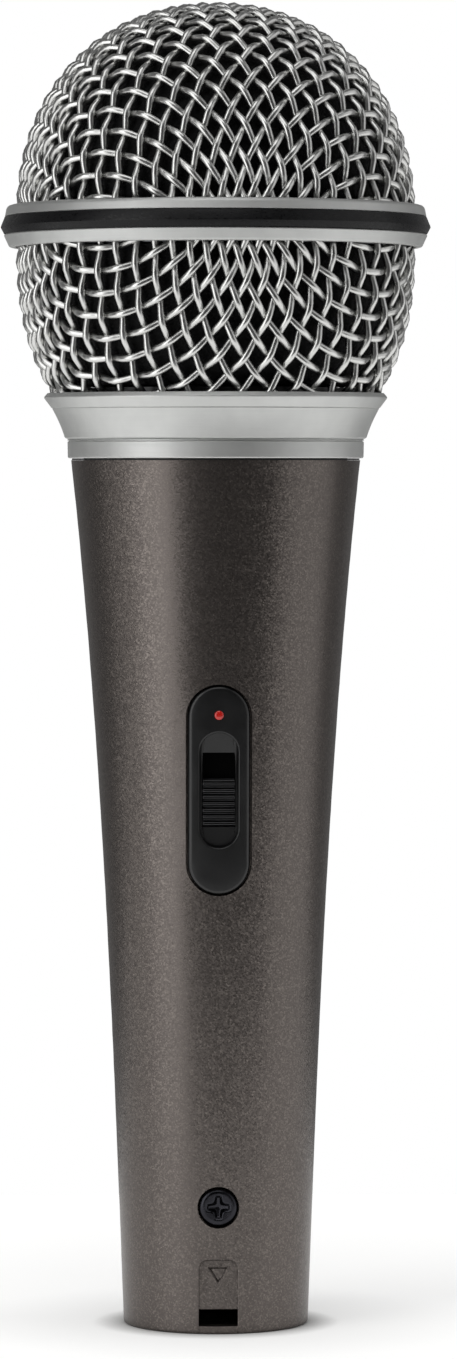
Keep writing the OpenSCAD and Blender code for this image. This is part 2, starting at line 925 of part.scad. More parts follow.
module capsule_body() {
    color(black)
    difference() {
        rotate_extrude()
            polygon([
                [chamber_r + fit_gap, capsule_z],
                [capsule_r - 0.6, capsule_z],
                [capsule_r, capsule_z + 0.6],
                [capsule_r, capsule_top_z],
                [body_bore_r, capsule_top_z],
                [body_bore_r, capsule_z + capsule_floor],
                [chamber_r + fit_gap, capsule_z + capsule_floor]]);
        for (i = [0:ports - 1])
            rotate([0, 0, 360 * i / ports])
                translate([body_bore_r - overcut, -port_w / 2, capsule_z + 3.8])
                    cube([capsule_wall + 2 * overcut, port_w, port_h]);
    }
}

// Centres of the holes in the cap: rings of 6, 12 and 18 around one
function cap_holes() = concat(
    [[0, 0]],
    [for (n = [1:3]) for (k = [0:6 * n - 1])
        n * hole_pitch * [cos(60 * k / n), sin(60 * k / n)]]);

module capsule_cap() {
    color(steel)
    difference() {
        rotate_extrude()
            polygon([
                [capsule_r + fit_gap, capsule_top_z - cap_skirt],
                [cap_r, capsule_top_z - cap_skirt],
                [cap_r, cap_top_z - 1],
                [cap_r - 0.3, cap_top_z - 0.3],
                [cap_r - 1, cap_top_z],
                [0, cap_top_z],
                [0, cap_top_z - cap_t],
                [body_bore_r, cap_top_z - cap_t],
                [body_bore_r, capsule_top_z + press_gap],
                [capsule_r + fit_gap, capsule_top_z + press_gap]]);
        for (p = cap_holes())
            translate([p[0], p[1], cap_top_z - cap_t - overcut])
                cylinder(r = hole_r, h = cap_t + 2 * overcut);
    }
}

module capsule_screen() {
    color(black)
        translate([0, 0, cap_top_z - cap_t - screen_t - press_gap])
            cylinder(r = body_bore_r - fit_gap, h = screen_t);
}

module port_cloth() {
    color(black)
        ring(body_bore_r - cloth_t, body_bore_r - press_gap, yoke_z, yoke_z + cloth_h);
}

module yoke() {
    color(steel)
    rotate_extrude()
        polygon([
            [vent_r, yoke_z],
            [yoke_r, yoke_z],
            [yoke_r, yoke_top_z - yoke_flange_t],
            [body_bore_r - press_gap, yoke_top_z - yoke_flange_t],
            [body_bore_r - press_gap, yoke_top_z],
            [yoke_bore_r, yoke_top_z],
            [yoke_bore_r, yoke_z + yoke_floor],
            [vent_r, yoke_z + yoke_floor]]);
}

magnet_z = yoke_z + yoke_floor + press_gap;
pole_z = yoke_top_z - pole_t;
module magnet() {
    color("silver")
        translate([0, 0, magnet_z])
            cylinder(r = magnet_r, h = pole_z - press_gap - magnet_z);
}

module pole_piece() {
    color(steel)
        translate([0, 0, pole_z])
            cylinder(r = pole_r, h = pole_t);
}

module diaphragm_ring() {
    color(bronze)
        ring(diaphragm_r + rim_gap, body_bore_r - press_gap, yoke_top_z + press_gap, capsule_top_z - 0.1);
}

module rear_chamber() {
    flange_z = capsule_z + capsule_floor + fit_gap;
    flange_r = chamber_r + 1.5;
    bore_r = chamber_r - chamber_wall;
    floor_z = chamber_z + 1.2;
    color(black)
    rotate_extrude()
        polygon([
            [0, chamber_z],
            [chamber_r, chamber_z],
            [chamber_r, flange_z],
            [flange_r, flange_z],
            [flange_r, flange_z + flange_t],
            [bore_r, flange_z + flange_t],
            [bore_r, floor_z],
            [0, floor_z]]);
}

module at_tags() {
    for (x = [-tag_x, tag_x])
        translate([x, 0, 0])
            children();
}

module terminal_board() {
    color(phenolic)
    difference() {
        translate([0, 0, board_z])
            cylinder(r = chamber_r - 1.8, h = board_t);
        at_tags()
            translate([-tag_t / 2 - press_gap, -tag_w / 2 - press_gap, board_z - overcut])
                cube([tag_t + 2 * press_gap, tag_w + 2 * press_gap, board_t + 2 * overcut]);
    }
}

module capsule_terminals() {
    color(silver)
    at_tags()
        translate([-tag_t / 2, -tag_w / 2, board_z + board_t - tag_h])
            cube([tag_t, tag_w, tag_h]);
}

// ---- moving coil ----
// Height of the diaphragm's underside at radius r: a dome inside the coil, a roll outside it
dome_rise = 1.4;
roll_rise = 0.7;
mid_r = coil_r + coil_t;
function skin_z(r) =
    r < mid_r
    ? diaphragm_z + dome_rise * (1 - pow(r / mid_r, 2))
    : diaphragm_z + roll_rise * sin(180 * (r - mid_r) / (diaphragm_r - mid_r));

module diaphragm() {
    radii = steps(0, diaphragm_r, 32);
    color("ivory")
    rotate_extrude()
        polygon(concat(
            [for (r = radii) [r, skin_z(r)]],
            [for (r = reverse(radii)) [r, skin_z(r) + diaphragm_t]]));
}

module voice_coil() {
    color("orange")
        ring(coil_r, mid_r, diaphragm_z - fit_gap - coil_h, diaphragm_z - fit_gap);
}

handle_shell();
xlr_insert();
xlr_pins();
xlr_screw();
ground_contact();
switch_plate();
on_dot();
switch_frame();
switch_base();
switch_terminals();
switch_screws();
shock_carrier();
shock_mount();
lead_hot_lower();
lead_cold_lower();
lead_hot_upper();
lead_cold_upper();
lead_ground();
switch_knob();
switch_slider();
switch_wipers();
head_washer();
collar();
grille_retainer();
lower_grille();
upper_grille();
belt_hoop();
belt_lower_ring();
belt_upper_ring();
belt_band();
foam_dome();
foam_sleeve();
capsule_body();
capsule_cap();
capsule_screen();
port_cloth();
diaphragm_ring();
yoke();
magnet();
pole_piece();
rear_chamber();
terminal_board();
capsule_terminals();
diaphragm();
voice_coil();
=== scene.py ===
"""A handheld dynamic microphone: the CAD frame with its woven grille, foam, finishes and studio."""
import math

import bmesh
import bpy
from mathutils import Matrix, Vector, noise


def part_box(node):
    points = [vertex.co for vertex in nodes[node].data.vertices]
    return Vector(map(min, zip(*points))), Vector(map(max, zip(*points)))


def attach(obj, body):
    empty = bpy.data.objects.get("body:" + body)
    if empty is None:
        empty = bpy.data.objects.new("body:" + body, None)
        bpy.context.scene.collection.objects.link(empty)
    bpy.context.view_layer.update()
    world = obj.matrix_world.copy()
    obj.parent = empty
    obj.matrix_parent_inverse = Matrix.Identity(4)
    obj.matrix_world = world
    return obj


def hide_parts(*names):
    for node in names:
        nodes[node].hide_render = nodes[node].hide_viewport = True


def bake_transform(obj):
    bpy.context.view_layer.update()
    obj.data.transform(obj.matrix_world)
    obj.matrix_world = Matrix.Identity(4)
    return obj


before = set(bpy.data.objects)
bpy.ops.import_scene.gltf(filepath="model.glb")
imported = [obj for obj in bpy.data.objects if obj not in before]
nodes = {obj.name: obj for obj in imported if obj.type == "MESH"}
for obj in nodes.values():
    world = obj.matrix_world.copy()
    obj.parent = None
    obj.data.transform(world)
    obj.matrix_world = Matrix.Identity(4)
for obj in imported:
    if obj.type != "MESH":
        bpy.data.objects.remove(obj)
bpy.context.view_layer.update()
MM = 0.001

# ---------------------------------------------------------------- sizes, in millimetres unless a name says otherwise

# the woven grille and its foam
WIRE = 0.88            # thickness of one grille wire
WIRE_SIDES = 9         # sides of a wire's section
WIRE_STEPS = 4         # pieces of curve from one crossing to the next
PITCH = 2.82           # from one wire to the next
CRIMP = 0.41           # how far a wire is pressed to either side of the mesh's middle
WEAVE_BEARING = math.radians(-37.6)  # heading of one straight wire through the pole, from the switch side
DOME_SPRING = 138.5    # height where the dome starts to curve in
DOME_SHAPE = 2.12      # fullness of the dome's outline, 2 is an ellipse
DOME_PAST = 0.04       # how far its wires go on past that height, in radians of the weave
BOWL_SPRING = 134.5    # height where the bowl starts to curve in
BOWL_LIP = 116.35      # height of the collar's lip, which the bowl passes into
BOWL_LIP_R = 20.7      # radius of the bowl there
BOWL_SHAPE = 2.5       # how late the bowl curves in
BOWL_BALL_R = 25.6     # radius of the ball that the bowl's weave is drawn over
BOWL_FIRST = math.radians(45.6)      # where the bowl's wires end below the lip, from the ball's pole
BOWL_PAST = 0.08       # how far they go on above the height where the bowl springs, in radians
FOAM_GAP = 1.95        # from the outside of the mesh to the foam lining
FOAM_T = 2.0           # thickness of the lining
FOAM_TAIL = 1.0        # how far the bowl's lining reaches below its CAD solid, to close the view at the lip
LUMP_SIZE = 2.5        # size of the foam's lumps
FOAM_LUMP = 0.12       # how far the lining's skin wanders in and out

# the handle
HANDLE_H = 108.0
END_R = 11.55          # radius at the connector end
TOP_R = 18.05          # radius at the top
FLARE_R = 2.6          # how much of that comes from the flare near the top
THREAD_PITCH = 1.25    # of the thread on the neck

# the switch
PLATE_Z = 67.5         # height of the middle of the switch plate
PLATE_W, PLATE_H = 7.6, 25.7
PLATE_EDGE = 0.45      # rounding of the plate's outer edge
PLATE_PROUD = 0.12     # how far the plate stands above the handle
PLATE_BACK = 1.55      # depth of its flat back
DISH_W, DISH_H, DISH_D = 4.75, 14.2, 0.75
DISH_RISE = 0.45       # how far the dish's floor rises toward its upper end
SLOT_W, SLOT_H = 4.1, 9.2
DOT_R, DOT_UP = 0.57, 9.3   # the red dot, and its place above the middle of the plate
KNOB_EDGE = 0.08       # rounding worn on the knob's ribs

# the screw, and the cast panel over the latch window with its triangle
SCREW_Z, SCREW_R = 15.8, 2.5
SCREW_DEPTH = 1.2      # from the handle's skin to the underside of the head
SHANK_R, SHANK_TIP_Y = 1.5, 3.9
CROSS_LENGTH, CROSS_WIDTH, CROSS_DEPTH = 2.7, 0.6, 0.8
LATCH_W, PANEL_TOP_Z, PANEL_CORNER = 4.85, 9.2, 1.2
MARK_TOP_Z, MARK_W, MARK_H = 8.2, 2.2, 1.8
CAST_EDGE = 0.14       # half the width over which the coat softens a cast edge

# the collar and the belt
COLLAR_Z, COLLAR_LIP_R, COLLAR_BORE_R = 108.25, 21.4, 16.55
COLLAR_SEAT_Z = 113.2  # height of the seat that the bowl stands on
BELT_Z, BELT_TOP_Z = 134.5, 139.7
BELT_R, BELT_BORE_R = 26.25, 25.0
RIDGE_R, RIDGE_Z = 26.79, 137.0      # the black band's ridge
TURNED_SIDES, TURNED_CREASE = 240, 24   # sides of a turned part, and the angle that stays a sharp line


# ---------------------------------------------------------------- helpers

def linear(code):
    """An sRGB hex colour as linear red, green, blue and alpha."""
    channels = [int(code[i:i + 2], 16) / 255 for i in (0, 2, 4)]
    return (*[c / 12.92 if c <= 0.04045 else ((c + 0.055) / 1.055) ** 2.4 for c in channels], 1.0)


def add(tree, kind, inputs=None, **settings):
    """One node with its settings; each input is a value or the socket that feeds it."""
    node = tree.nodes.new(kind)
    for name, value in settings.items():
        setattr(node, name, value)
    for name, value in (inputs or {}).items():
        if isinstance(value, bpy.types.NodeSocket):
            tree.links.new(value, node.inputs[name])
        else:
            node.inputs[name].default_value = value
    return node


def start_finish(name, **constants):
    """A new material with its constant values set: the material, its tree, its shader, and the place in millimetres."""
    material = bpy.data.materials.new(name)
    material.use_nodes = True
    tree = material.node_tree
    shader = tree.nodes["Principled BSDF"]
    for socket, value in constants.items():
        shader.inputs[socket.replace("_", " ")].default_value = value
    place = add(tree, "ShaderNodeTexCoord")
    in_mm = add(tree, "ShaderNodeMapping", {"Vector": place.outputs["Object"], "Scale": (1000, 1000, 1000)})
    return material, tree, shader, in_mm.outputs["Vector"]


def stretched(tree, place, per_mm):
    """The place scaled so that one pattern cell is 1 / per_mm long on each axis."""
    return add(tree, "ShaderNodeMapping", {"Vector": place, "Scale": per_mm}).outputs["Vector"]


def between(tree, value, low, high, to_low, to_high):
    """A value spread from one range onto another."""
    spread = add(tree, "ShaderNodeMapRange", {"Value": value, "From Min": low, "From Max": high,
                                              "To Min": to_low, "To Max": to_high})
    return spread.outputs["Result"]


def tinted(tree, share, dark, light):
    """A colour that goes from dark to light with share."""
    mix = add(tree, "ShaderNodeMix", {0: share, 6: linear(dark), 7: linear(light)}, data_type="RGBA")
    return mix.outputs[2]


def placed(name, data):
    """A new object in the scene, at the origin."""
    piece = bpy.data.objects.new(name, data)
    bpy.context.scene.collection.objects.link(piece)
    return piece


def coated(piece, *finishes):
    """Gives a piece these finishes and no others."""
    piece.data.materials.clear()
    for finish in finishes:
        piece.data.materials.append(finish)


def finished(piece, body, node):
    """Has a piece ride a body and hides the CAD node that it takes the place of."""
    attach(piece, body)
    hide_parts(node)


def bumped(tree, shader, height, depth_mm, strength, under=None):
    """Feeds the shader's normal with a relief of that depth."""
    inputs = {"Height": height, "Distance": depth_mm * MM, "Strength": strength}
    if under is not None:
        inputs["Normal"] = under
    bump = add(tree, "ShaderNodeBump", inputs)
    tree.links.new(bump.outputs["Normal"], shader.inputs["Normal"])


# ---------------------------------------------------------------- shapes

def skin(name, rings, crease=180.0):
    """A closed skin over rings of matching points; a ring of one point is a pole, and without poles the last ring
    meets the first. Edges sharper than crease, in degrees, stay sharp."""
    shape = bmesh.new()
    made = [[shape.verts.new(point) for point in ring] for ring in rings]
    pairs = list(zip(made, made[1:]))
    if len(made[0]) > 1:
        pairs.append((made[-1], made[0]))
    sides = max(len(ring) for ring in made)
    for one, two in pairs:
        for k in range(sides):
            corners = [one[k % len(one)], one[(k + 1) % len(one)], two[(k + 1) % len(two)], two[k % len(two)]]
            corners = [c for n, c in enumerate(corners) if c not in corners[:n]]
            if len(corners) > 2:
                shape.faces.new(corners)
    bmesh.ops.recalc_face_normals(shape, faces=shape.faces)
    for face in shape.faces:
        face.smooth = True
    mesh = bpy.data.meshes.new(name)
    shape.to_mesh(mesh)
    shape.free()
    if crease < 180:
        mesh.set_sharp_from_angle(angle=math.radians(crease))
    return placed(name, mesh)


def turned_shape(name, outline, sides, lump=0.0, crease=180.0):
    """A closed solid of revolution from radius and height in metres. Lump moves its skin in and out, in millimetres."""
    rings = []
    for radius, height in outline:
        ring = []
        for k in range(sides if radius > 1e-6 else 1):
            turn = 2 * math.pi * k / sides
            point = Vector((radius * math.cos(turn), radius * math.sin(turn), height))
            swell = noise.noise(point / (LUMP_SIZE * MM)) * lump * MM
            ring.append(point + Vector((math.cos(turn), math.sin(turn), 0.3)) * swell)
        rings.append(ring)
    return skin(name, rings, crease)


def merged_copy(node, name):
    """A copy of a CAD node's mesh with its loose triangles joined up."""
    shape = bmesh.new()
    shape.from_mesh(nodes[node].data)
    bmesh.ops.remove_doubles(shape, verts=shape.verts, dist=1e-6)
    mesh = bpy.data.meshes.new(name)
    shape.to_mesh(mesh)
    shape.free()
    return placed(name, mesh)


# ---------------------------------------------------------------- finishes

def latch_relief(tree, parts):
    """Height in millimetres of the cast edges round the latch panel and its triangle, softened by the coat."""
    side = add(tree, "ShaderNodeMath", {0: parts.outputs["X"]}, operation="ABSOLUTE").outputs[0]
    place = add(tree, "ShaderNodeCombineXYZ", {"X": side, "Y": parts.outputs["Z"]})
    corner = (LATCH_W / 2 - PANEL_CORNER, PANEL_TOP_Z - PANEL_CORNER, 0)
    past = add(tree, "ShaderNodeVectorMath", {0: place.outputs[0], 1: corner}, operation="SUBTRACT")
    held = add(tree, "ShaderNodeVectorMath", {0: past.outputs[0], 1: (0, 0, 0)}, operation="MAXIMUM")
    away = add(tree, "ShaderNodeVectorMath", {0: held.outputs[0]}, operation="LENGTH")
    panel = between(tree, away.outputs["Value"], PANEL_CORNER - CAST_EDGE, PANEL_CORNER + CAST_EDGE, 0.0, 0.3)
    steep = math.hypot(MARK_W / 2, MARK_H)
    flank_way = (MARK_H / steep, -MARK_W / 2 / steep, 0)
    slope = add(tree, "ShaderNodeVectorMath", {0: place.outputs[0], 1: flank_way}, operation="DOT_PRODUCT")
    tip = (MARK_TOP_Z - MARK_H) * MARK_W / 2 / steep
    flank = add(tree, "ShaderNodeMath", {0: slope.outputs["Value"], 1: tip})
    above = add(tree, "ShaderNodeMath", {0: parts.outputs["Z"], 1: MARK_TOP_Z}, operation="SUBTRACT")
    outside = add(tree, "ShaderNodeMath", {0: flank.outputs[0], 1: above.outputs[0]}, operation="MAXIMUM")
    mark = between(tree, outside.outputs[0], -CAST_EDGE, CAST_EDGE, 0.0, 0.28)
    both = add(tree, "ShaderNodeMath", {0: panel, 1: mark})
    front = add(tree, "ShaderNodeMath", {0: parts.outputs["Y"], 1: -9.0}, operation="LESS_THAN")
    return add(tree, "ShaderNodeMath", {0: both.outputs[0], 1: front.outputs[0]}, operation="MULTIPLY").outputs[0]


def metallic_lacquer():
    """Sprayed gunmetal lacquer on die-cast zinc: aluminium flakes in a brown-grey coat, satin, with a fine glitter.
    The neck under the head is bare turned zinc with a coarse thread."""
    material, tree, shader, place = start_finish("gunmetal_lacquer")
    # flakes about 0.05 mm wide are too fine to show, so they are drawn 0.17 mm wide
    flakes = add(tree, "ShaderNodeTexVoronoi", {"Vector": place, "Scale": 1 / 0.17})
    shade = add(tree, "ShaderNodeSeparateColor", {"Color": flakes.outputs["Color"]})
    glint = add(tree, "ShaderNodeMath", {0: shade.outputs[0], 1: 3.0}, operation="POWER")
    coat = tinted(tree, glint.outputs[0], "5e5855", "77706b")
    parts = add(tree, "ShaderNodeSeparateXYZ", {0: place})
    bare = add(tree, "ShaderNodeMath", {0: parts.outputs["Z"], 1: HANDLE_H + 0.03}, operation="GREATER_THAN")
    mixed = add(tree, "ShaderNodeMix", {0: bare.outputs[0], 6: coat, 7: linear("9a9b9c")}, data_type="RGBA")
    tree.links.new(mixed.outputs[2], shader.inputs["Base Color"])
    tree.links.new(between(tree, shade.outputs[1], 0.0, 1.0, 0.3, 0.38), shader.inputs["Roughness"])
    tree.links.new(between(tree, bare.outputs[0], 0.0, 1.0, 0.93, 1.0), shader.inputs["Metallic"])
    # each flake lies at its own small angle
    tilt = add(tree, "ShaderNodeVectorMath", {0: flakes.outputs["Color"], 1: (0.5, 0.5, 0.5)}, operation="SUBTRACT")
    lean = add(tree, "ShaderNodeVectorMath", {0: tilt.outputs[0], "Scale": 0.12}, operation="SCALE")
    facing = add(tree, "ShaderNodeNewGeometry")
    turned = add(tree, "ShaderNodeVectorMath", {0: facing.outputs["Normal"], 1: lean.outputs[0]}, operation="ADD")
    unit = add(tree, "ShaderNodeVectorMath", {0: turned.outputs[0]}, operation="NORMALIZE")
    # the thread: a ridge that climbs one pitch in each turn
    round_it = add(tree, "ShaderNodeMath", {0: parts.outputs["Y"], 1: parts.outputs["X"]}, operation="ARCTAN2")
    per_radian = THREAD_PITCH / (2 * math.pi)
    turns = add(tree, "ShaderNodeMath", {0: round_it.outputs[0], 1: per_radian}, operation="MULTIPLY")
    climb = add(tree, "ShaderNodeMath", {0: parts.outputs["Z"], 1: turns.outputs[0]}, operation="SUBTRACT")
    ridge = add(tree, "ShaderNodeMath", {0: climb.outputs[0], 1: THREAD_PITCH / 2}, operation="PINGPONG")
    thread = add(tree, "ShaderNodeMath", {0: ridge.outputs[0], 1: bare.outputs[0]}, operation="MULTIPLY")
    relief = add(tree, "ShaderNodeMath", {0: thread.outputs[0], 1: latch_relief(tree, parts)})
    bumped(tree, shader, relief.outputs[0], 0.9, 1.0, unit.outputs[0])
    return material


def turned_nickel():
    """Satin nickel on a turned part: pearly grey with fine lines round it and a faint cloudiness."""
    material, tree, shader, place = start_finish("turned_nickel", Metallic=1.0)
    # tool lines 0.05 mm apart are too fine to show, so they are drawn 0.2 mm apart
    lines = add(tree, "ShaderNodeTexNoise", {"Vector": stretched(tree, place, (0.03, 0.03, 5.0)), "Detail": 3.0})
    cloud = add(tree, "ShaderNodeTexNoise", {"Vector": place, "Scale": 1 / 3.0, "Detail": 4.0})
    tree.links.new(tinted(tree, cloud.outputs["Fac"], "c4c5c4", "d5d6d4"), shader.inputs["Base Color"])
    tree.links.new(between(tree, lines.outputs["Fac"], 0.3, 0.7, 0.49, 0.6), shader.inputs["Roughness"])
    bumped(tree, shader, lines.outputs["Fac"], 0.02, 0.35)
    return material


def drawn_wire():
    """Drawn steel wire, satin nickel plated after weaving: bright, with faint draw marks and duller patches at random.
    """
    material, tree, shader, place = start_finish("nickel_wire", Metallic=1.0)
    patch = add(tree, "ShaderNodeTexNoise", {"Vector": place, "Scale": 1 / 0.8, "Detail": 3.0})
    tree.links.new(tinted(tree, patch.outputs["Fac"], "c4c4c2", "e3e3e1"), shader.inputs["Base Color"])
    tree.links.new(between(tree, patch.outputs["Fac"], 0.3, 0.7, 0.26, 0.36), shader.inputs["Roughness"])
    grain = add(tree, "ShaderNodeTexNoise", {"Vector": place, "Scale": 1 / 0.15, "Detail": 2.0})
    bumped(tree, shader, grain.outputs["Fac"], 0.01, 0.4)
    return material


def plated_metal(name, dark, light, roughness, grain=0.25):
    """A stamped or cut metal part with its plating: a little uneven in colour and gloss, with a faint rolled grain."""
    material, tree, shader, place = start_finish(name, Metallic=1.0)
    patch = add(tree, "ShaderNodeTexNoise", {"Vector": place, "Scale": 1 / 1.6, "Detail": 4.0})
    tree.links.new(tinted(tree, patch.outputs["Fac"], dark, light), shader.inputs["Base Color"])
    tree.links.new(between(tree, patch.outputs["Fac"], 0.3, 0.7, roughness - 0.05, roughness + 0.07),
                   shader.inputs["Roughness"])
    rolled = add(tree, "ShaderNodeTexNoise", {"Vector": stretched(tree, place, (1 / grain, 0.4 / grain, 1 / grain)),
                                              "Detail": 2.0})
    bumped(tree, shader, rolled.outputs["Fac"], 0.012, 0.4)
    return material


def moulded_plastic(name, dark, light, roughness, texture=0.22, ior=1.53):
    """An injection-moulded plastic part: even colour, satin, with the fine spark-eroded texture of its mould."""
    material, tree, shader, place = start_finish(name, IOR=ior)
    patch = add(tree, "ShaderNodeTexNoise", {"Vector": place, "Scale": 1 / 4.0, "Detail": 3.0})
    tree.links.new(tinted(tree, patch.outputs["Fac"], dark, light), shader.inputs["Base Color"])
    tree.links.new(between(tree, patch.outputs["Fac"], 0.3, 0.7, roughness - 0.04, roughness + 0.06),
                   shader.inputs["Roughness"])
    pits = add(tree, "ShaderNodeTexNoise", {"Vector": place, "Scale": 1 / texture, "Detail": 2.0})
    bumped(tree, shader, pits.outputs["Fac"], 0.012, 0.5)
    return material


def scuffed_band():
    """The black enamelled band round the belt, dulled and mottled by handling."""
    material, tree, shader, place = start_finish("scuffed_black_enamel", IOR=1.32)
    mottle = add(tree, "ShaderNodeTexNoise", {"Vector": stretched(tree, place, (0.35, 0.35, 0.9)), "Detail": 6.0,
                                              "Roughness": 0.65})
    tree.links.new(tinted(tree, mottle.outputs["Fac"], "060607", "161618"), shader.inputs["Base Color"])
    tree.links.new(between(tree, mottle.outputs["Fac"], 0.35, 0.65, 0.22, 0.48), shader.inputs["Roughness"])
    bumped(tree, shader, mottle.outputs["Fac"], 0.03, 0.5)
    return material


def rubber():
    """Soft moulded rubber: matt black with a dusty bloom."""
    material, tree, shader, place = start_finish("moulded_rubber", IOR=1.52)
    bloom = add(tree, "ShaderNodeTexNoise", {"Vector": place, "Scale": 1 / 1.2, "Detail": 5.0})
    tree.links.new(tinted(tree, bloom.outputs["Fac"], "0d0d0e", "1a1a1b"), shader.inputs["Base Color"])
    tree.links.new(between(tree, bloom.outputs["Fac"], 0.3, 0.7, 0.6, 0.8), shader.inputs["Roughness"])
    bumped(tree, shader, bloom.outputs["Fac"], 0.03, 0.5)
    return material


def open_cell_foam():
    """Black open-cell polyurethane foam: matt, with pores about half a millimetre wide."""
    material, tree, shader, place = start_finish("black_foam", Roughness=0.95, IOR=1.45)
    pores = add(tree, "ShaderNodeTexVoronoi", {"Vector": place, "Scale": 1 / 0.55}, feature="F1")
    tree.links.new(tinted(tree, pores.outputs["Distance"], "020202", "121213"), shader.inputs["Base Color"])
    bumped(tree, shader, pores.outputs["Distance"], 0.2, 0.8)
    return material


def woven_cloth():
    """Black woven acoustic cloth with threads a quarter of a millimetre apart."""
    material, tree, shader, place = start_finish("acoustic_cloth", IOR=1.46)
    per_thread = 0.314 / 0.25       # a wave texture has one band in every 0.314 units
    warp = add(tree, "ShaderNodeTexWave", {"Vector": place, "Scale": per_thread}, bands_direction="X")
    weft = add(tree, "ShaderNodeTexWave", {"Vector": place, "Scale": per_thread}, bands_direction="DIAGONAL")
    both = add(tree, "ShaderNodeMath", {0: warp.outputs["Fac"], 1: weft.outputs["Fac"]}, operation="MULTIPLY")
    tree.links.new(tinted(tree, both.outputs[0], "08080a", "242427"), shader.inputs["Base Color"])
    tree.links.new(between(tree, both.outputs[0], 0.0, 1.0, 0.75, 0.9), shader.inputs["Roughness"])
    bumped(tree, shader, both.outputs[0], 0.05, 0.7)
    return material


def clear_film():
    """Thin clear polyester film of the diaphragm, with slight waviness."""
    material, tree, shader, place = start_finish("polyester_film", Transmission_Weight=0.85, IOR=1.6)
    wave = add(tree, "ShaderNodeTexNoise", {"Vector": place, "Scale": 1 / 2.0, "Detail": 2.0})
    tree.links.new(tinted(tree, wave.outputs["Fac"], "d6d2c4", "efece2"), shader.inputs["Base Color"])
    tree.links.new(between(tree, wave.outputs["Fac"], 0.3, 0.7, 0.06, 0.16), shader.inputs["Roughness"])
    bumped(tree, shader, wave.outputs["Fac"], 0.02, 0.3)
    return material


def red_enamel():
    """The red lacquer filling of the ON dot: glossy, slightly deeper at one side."""
    material, tree, shader, place = start_finish("red_enamel", IOR=1.5, Coat_Weight=0.6, Coat_Roughness=0.08)
    depth = add(tree, "ShaderNodeTexNoise", {"Vector": place, "Scale": 1 / 0.5, "Detail": 2.0})
    tree.links.new(tinted(tree, depth.outputs["Fac"], "a3100c", "e0241a"), shader.inputs["Base Color"])
    tree.links.new(between(tree, depth.outputs["Fac"], 0.3, 0.7, 0.22, 0.34), shader.inputs["Roughness"])
    bumped(tree, shader, depth.outputs["Fac"], 0.02, 0.3)
    return material


# ---------------------------------------------------------------- the woven grille

def dome_outline():
    """The outside of the dome as radius and height, from where it springs to its pole."""
    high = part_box("upper_grille")[1]
    reach, rise = high.x, high.z - DOME_SPRING * MM
    points = []
    for k in range(201):
        turn = math.pi / 2 * k / 200
        points.append((reach * max(0.0, math.cos(turn)) ** (2 / DOME_SHAPE),
                       DOME_SPRING * MM + rise * math.sin(turn) ** (2 / DOME_SHAPE)))
    return points


def bowl_outline():
    """The outside of the bowl as radius and height, from where it springs down into the collar."""
    low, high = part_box("lower_grille")
    reach = high.x
    points = []
    for k in range(201):
        height = BOWL_SPRING * MM + (low.z - BOWL_SPRING * MM) * k / 200
        drop = min(1.0, (BOWL_SPRING * MM - height) / ((BOWL_SPRING - BOWL_LIP) * MM))
        sunk = max(0.0, BOWL_LIP * MM - height)
        points.append((reach - (reach - BOWL_LIP_R * MM) * drop ** BOWL_SHAPE - 0.6 * sunk, height))
    return points


def outline_length(outline):
    """Length of an outline."""
    return sum(math.hypot(b[0] - a[0], b[1] - a[1]) for a, b in zip(outline, outline[1:]))


def along_outline(outline, distance):
    """Radius, height and outward normal at a distance along an outline; before its start it goes on straight."""
    upward = 1 if outline[-1][1] > outline[0][1] else -1
    if distance <= 0:
        return outline[0][0], outline[0][1] + upward * distance, 1.0, 0.0
    for (r0, z0), (r1, z1) in zip(outline, outline[1:]):
        span = math.hypot(r1 - r0, z1 - z0)
        if distance <= span:
            share = distance / span
            return (r0 + (r1 - r0) * share, z0 + (z1 - z0) * share,
                    abs(z1 - z0) / span, upward * (r0 - r1) / span)
        distance -= span
    return outline[-1][0], outline[-1][1], 0.0 if upward > 0 else 1.0, float(upward)


def mesh_crossings(step):
    """Where flat mesh drawn over a ball has its crossings: every cell keeps its four equal sides and only shears."""
    reach = int(math.pi / step) // 2 + 4
    across = Vector((math.sin(WEAVE_BEARING), -math.cos(WEAVE_BEARING), 0))
    along = Vector((math.cos(WEAVE_BEARING), math.sin(WEAVE_BEARING), 0))
    quarter = {}
    for i in range(reach + 1):
        rise = Vector((0, 0, math.cos(i * step)))
        quarter[i, 0] = rise + across * math.sin(i * step)
        quarter[0, i] = rise + along * math.sin(i * step)
    for i in range(1, reach + 1):
        for j in range(1, reach + 1):
            fold = quarter[i - 1, j].cross(quarter[i, j - 1])
            fold = fold.normalized() if fold.length > 1e-9 else Vector((0, 0, 1))
            start = quarter[i - 1, j - 1]
            quarter[i, j] = start - 2 * start.dot(fold) * fold
    crossings = {}
    for (i, j), way in quarter.items():
        for key in ((i, j), (-j, i), (-i, -j), (j, -i)):
            crossings.setdefault(key, way)
            way = Matrix.Rotation(math.pi / 2, 3, "Z") @ way
    return crossings, reach


def from_pole(way):
    """The angle between a direction and the pole."""
    return math.acos(max(-1.0, min(1.0, way.z)))


